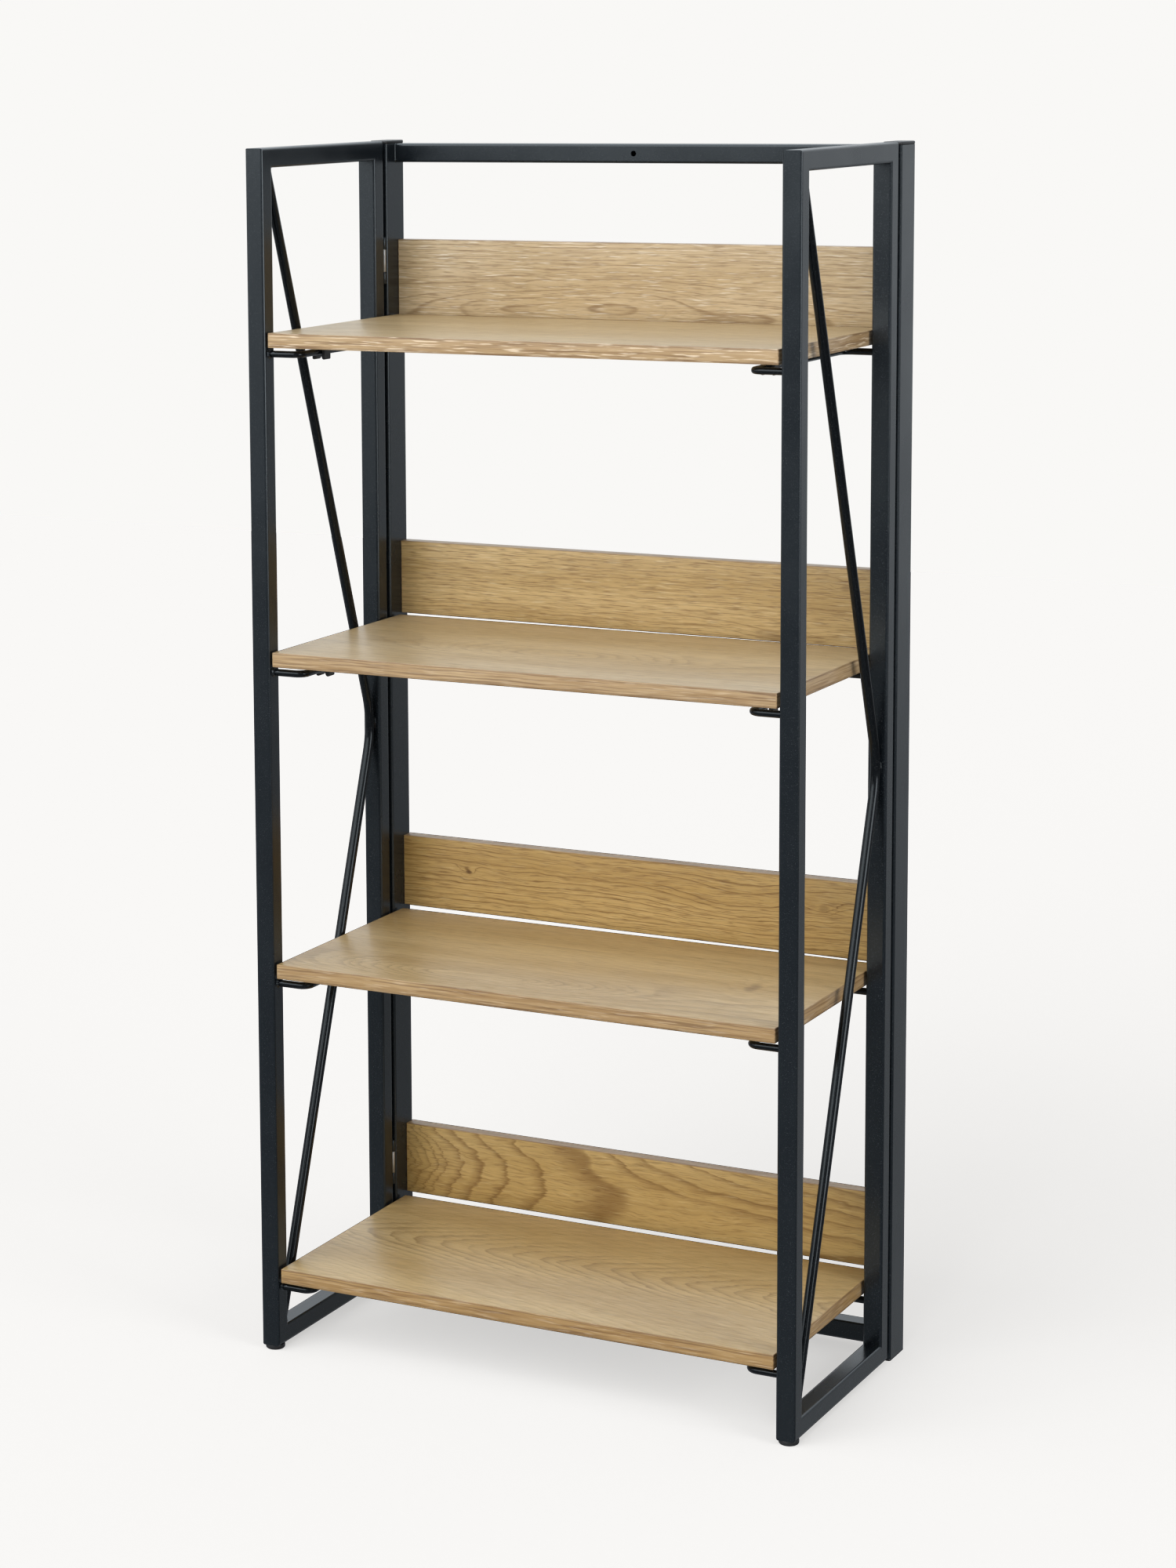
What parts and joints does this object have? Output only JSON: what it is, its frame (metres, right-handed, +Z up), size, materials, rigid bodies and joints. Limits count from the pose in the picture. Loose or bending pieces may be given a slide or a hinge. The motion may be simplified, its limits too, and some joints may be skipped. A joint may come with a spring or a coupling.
{
  "type": "folding bookcase",
  "caption": "Tall open bookcase: black square-tube frames with bent rod braces, barrel-hinged sides, and oak-look shelves that lift on rear pins and clip on to bent rods.",
  "frame": {"origin": "on the floor, midway between the side frames and midway between front and back", "axes": "+X to the right as seen from the front, +Y towards the wall, +Z up"},
  "size_m": [0.6, 0.305, 1.2605],
  "materials": {
    "powder_coat": "satin charcoal powder coat",
    "oak_board": "matt light oak melamine with straight grain",
    "zinc_steel": "bright zinc-plated steel",
    "black_plastic": "matt black moulded plastic"
  },
  "bodies": {
    "frame": {"back_post_left": "powder_coat", "post_cap_left": "black_plastic", "post_plug_left": "black_plastic", "back_post_right": "powder_coat", "post_cap_right": "black_plastic", "post_plug_right": "black_plastic", "back_top_rail": "powder_coat", "back_bottom_rail": "powder_coat", "back_strip_1": "oak_board", "back_strip_2": "oak_board", "back_strip_3": "oak_board", "back_strip_4": "oak_board", "left_front_post": "powder_coat", "left_rear_post": "powder_coat", "left_bottom_rail": "powder_coat", "left_top_rail": "powder_coat", "left_brace": "powder_coat", "left_support_rod_1": "powder_coat", "left_support_rod_2": "powder_coat", "left_support_rod_3": "powder_coat", "left_support_rod_4": "powder_coat", "left_glide": "black_plastic", "left_upper_hinge_fixed_leaf": "powder_coat", "left_upper_hinge_moving_leaf": "zinc_steel", "left_lower_hinge_fixed_leaf": "powder_coat", "left_lower_hinge_moving_leaf": "zinc_steel", "right_front_post": "powder_coat", "right_rear_post": "powder_coat", "right_bottom_rail": "powder_coat", "right_top_rail": "powder_coat", "right_brace": "powder_coat", "right_support_rod_1": "powder_coat", "right_support_rod_2": "powder_coat", "right_support_rod_3": "powder_coat", "right_support_rod_4": "powder_coat", "right_glide": "black_plastic", "right_upper_hinge_fixed_leaf": "powder_coat", "right_upper_hinge_moving_leaf": "zinc_steel", "right_lower_hinge_fixed_leaf": "powder_coat", "right_lower_hinge_moving_leaf": "zinc_steel"},
    "shelf_1": {"shelf_1_board": "oak_board", "shelf_1_pin_left": "zinc_steel", "shelf_1_clip_left": "black_plastic", "shelf_1_pin_right": "zinc_steel", "shelf_1_clip_right": "black_plastic"},
    "shelf_2": {"shelf_2_board": "oak_board", "shelf_2_pin_left": "zinc_steel", "shelf_2_clip_left": "black_plastic", "shelf_2_pin_right": "zinc_steel", "shelf_2_clip_right": "black_plastic"},
    "shelf_3": {"shelf_3_board": "oak_board", "shelf_3_pin_left": "zinc_steel", "shelf_3_clip_left": "black_plastic", "shelf_3_pin_right": "zinc_steel", "shelf_3_clip_right": "black_plastic"},
    "shelf_4": {"shelf_4_board": "oak_board", "shelf_4_pin_left": "zinc_steel", "shelf_4_clip_left": "black_plastic", "shelf_4_pin_right": "zinc_steel", "shelf_4_clip_right": "black_plastic"}
  },
  "joints": [
    {"name": "shelf_1_lift", "type": "hinge", "parent": "frame", "child": "shelf_1", "pos_m": [0, 0.121, 1.064], "axis": [-1, 0, 0], "range_deg": [0, 90]},
    {"name": "shelf_2_lift", "type": "hinge", "parent": "frame", "child": "shelf_2", "pos_m": [0, 0.121, 0.736], "axis": [-1, 0, 0], "range_deg": [0, 94]},
    {"name": "shelf_3_lift", "type": "hinge", "parent": "frame", "child": "shelf_3", "pos_m": [0, 0.121, 0.408], "axis": [-1, 0, 0], "range_deg": [0, 94]},
    {"name": "shelf_4_lift", "type": "hinge", "parent": "frame", "child": "shelf_4", "pos_m": [0, 0.121, 0.08], "axis": [-1, 0, 0], "range_deg": [0, 94]}
  ]
}
